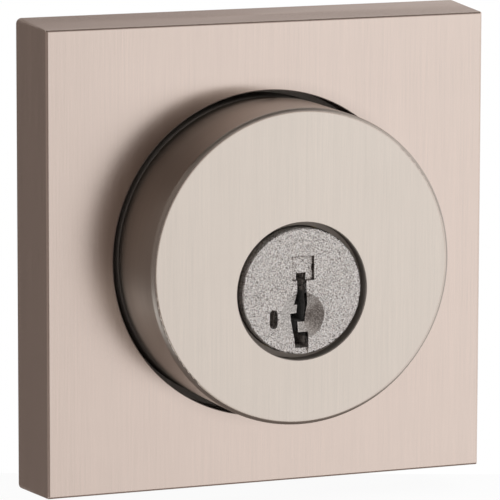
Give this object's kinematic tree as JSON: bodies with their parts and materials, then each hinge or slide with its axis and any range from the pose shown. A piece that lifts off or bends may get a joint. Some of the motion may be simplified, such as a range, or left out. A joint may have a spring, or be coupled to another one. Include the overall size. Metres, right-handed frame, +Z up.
{
  "type": "deadbolt door lock",
  "caption": "Square-rose deadbolt: keyed round cylinder guard outside, sliding bolt with faceplate in the door's edge, and a thumbturn inside that throws it.",
  "frame": {"origin": "on the turn axis, in the plane of the door's outer face", "axes": "+Y into the door from the key side, +X to the door's edge, +Z up"},
  "size_m": [0.0943, 0.1009, 0.0714],
  "materials": {
    "satin_nickel": "brushed satin nickel, fine upright lines",
    "cast_plug": "grainy cast face, nickel plated",
    "bright_steel": "ground steel",
    "zinc_plate": "pressed steel, bright zinc plated",
    "black_screw": "black oxide",
    "brass": "machined"
  },
  "bodies": {
    "fixed_trim": {"exterior_rose": "satin_nickel", "cylinder_guard": "satin_nickel", "drill_shield": "bright_steel", "cylinder_shell": "brass", "support_plate": "zinc_plate", "mounting_posts": "zinc_plate", "guard_screws": "zinc_plate", "bolt_frame": "zinc_plate", "bolt_tube": "zinc_plate", "faceplate_backing": "zinc_plate", "faceplate": "satin_nickel", "mounting_plate": "zinc_plate", "through_screws": "zinc_plate", "interior_rose": "satin_nickel", "cover_set_screw": "black_screw"},
    "turn_train": {"torque_blade": "bright_steel", "bolt_cam": "zinc_plate", "cam_pin": "bright_steel", "thumbturn_spindle": "zinc_plate", "thumbturn": "satin_nickel", "spindle_clip": "bright_steel", "wave_washer": "bright_steel"},
    "key_plug": {"plug": "cast_plug", "plug_clip": "bright_steel", "spring_cover": "brass", "sidebar_springs": "bright_steel", "tumbler_spring_1": "bright_steel", "tumbler_spring_2": "bright_steel", "tumbler_spring_3": "bright_steel", "tumbler_spring_4": "bright_steel", "tumbler_spring_5": "bright_steel"},
    "locking_sidebar": {"sidebar": "brass"},
    "dead_bolt": {"bolt": "bright_steel", "saw_guard_pin": "bright_steel", "bolt_tail": "zinc_plate", "tail_rivets": "bright_steel"},
    "tumbler_1": {"key_pin_1": "brass", "tumbler_rack_1": "brass"},
    "tumbler_2": {"key_pin_2": "brass", "tumbler_rack_2": "brass"},
    "tumbler_3": {"key_pin_3": "brass", "tumbler_rack_3": "brass"},
    "tumbler_4": {"key_pin_4": "brass", "tumbler_rack_4": "brass"},
    "tumbler_5": {"key_pin_5": "brass", "tumbler_rack_5": "brass"}
  },
  "joints": [
    {"name": "turn", "type": "hinge", "parent": "fixed_trim", "child": "turn_train", "pos_m": [0, 0, 0], "axis": [0, 1, 0], "range_deg": [0, 90]},
    {"name": "bolt_throw", "type": "slide", "parent": "fixed_trim", "child": "dead_bolt", "axis": [1, 0, 0], "range_m": [0, 0.0254]},
    {"name": "plug_turn", "type": "hinge", "parent": "turn_train", "child": "key_plug", "pos_m": [0, 0, 0], "axis": [0, 1, 0], "range_deg": [-90, 0]},
    {"name": "sidebar_slide", "type": "slide", "parent": "key_plug", "child": "locking_sidebar", "axis": [-1, 0, 0], "range_m": [0, 0.0006], "deforming": ["sidebar_springs"]},
    {"name": "tumbler_lift_1", "type": "slide", "parent": "key_plug", "child": "tumbler_1", "axis": [0, 0, 1], "range_m": [0, 0.0018], "stiffness_N_per_m": 40, "springref_m": -0.002, "deforming": ["tumbler_spring_1"]},
    {"name": "tumbler_lift_2", "type": "slide", "parent": "key_plug", "child": "tumbler_2", "axis": [0, 0, 1], "range_m": [0, 0.0018], "stiffness_N_per_m": 40, "springref_m": -0.002, "deforming": ["tumbler_spring_2"]},
    {"name": "tumbler_lift_3", "type": "slide", "parent": "key_plug", "child": "tumbler_3", "axis": [0, 0, 1], "range_m": [0, 0.0018], "stiffness_N_per_m": 40, "springref_m": -0.002, "deforming": ["tumbler_spring_3"]},
    {"name": "tumbler_lift_4", "type": "slide", "parent": "key_plug", "child": "tumbler_4", "axis": [0, 0, 1], "range_m": [0, 0.0018], "stiffness_N_per_m": 40, "springref_m": -0.002, "deforming": ["tumbler_spring_4"]},
    {"name": "tumbler_lift_5", "type": "slide", "parent": "key_plug", "child": "tumbler_5", "axis": [0, 0, 1], "range_m": [0, 0.0018], "stiffness_N_per_m": 40, "springref_m": -0.002, "deforming": ["tumbler_spring_5"]}
  ],
  "couplings": [
    {"joint": "bolt_throw", "follows": "turn", "m_per_rad": 0.01617}
  ]
}
